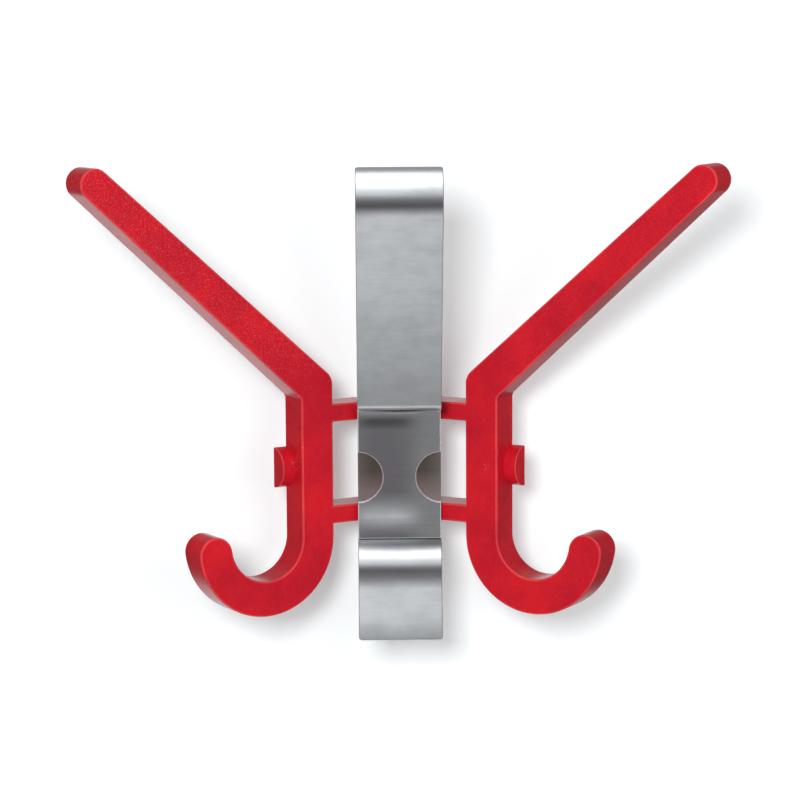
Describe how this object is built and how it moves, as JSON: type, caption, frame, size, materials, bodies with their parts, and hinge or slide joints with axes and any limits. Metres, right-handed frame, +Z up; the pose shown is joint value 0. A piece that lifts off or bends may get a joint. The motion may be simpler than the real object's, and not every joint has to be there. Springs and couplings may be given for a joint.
{
  "type": "wall hook",
  "caption": "Wall hook: red moulded hooks with raised arms, held in a bent brushed-steel strip with an upper blade, a lower flap and a removable cover plate",
  "frame": {"origin": "on the wall, behind the bracket's wall plate, midway between the wall screws", "axes": "+X to the right across both hooks, +Y into the wall, +Z up"},
  "size_m": [0.3026, 0.1049, 0.2285],
  "materials": {
    "brushed_strip": "brushed across the strip, satin",
    "red_moulding": "fine moulded grain",
    "spring_steel": "dull rolled",
    "screw_steel": "zinc plated"
  },
  "bodies": {
    "bracket": {"wall_bracket": "brushed_strip", "double_hook": "red_moulding", "retaining_spring": "spring_steel", "upper_wall_screw": "screw_steel", "lower_wall_screw": "screw_steel"},
    "cover": {"cover_plate": "brushed_strip"}
  },
  "joints": [
    {"name": "cover_slide", "type": "slide", "parent": "bracket", "child": "cover", "axis": [0, -1, 0], "range_m": [0, 0.03]}
  ]
}
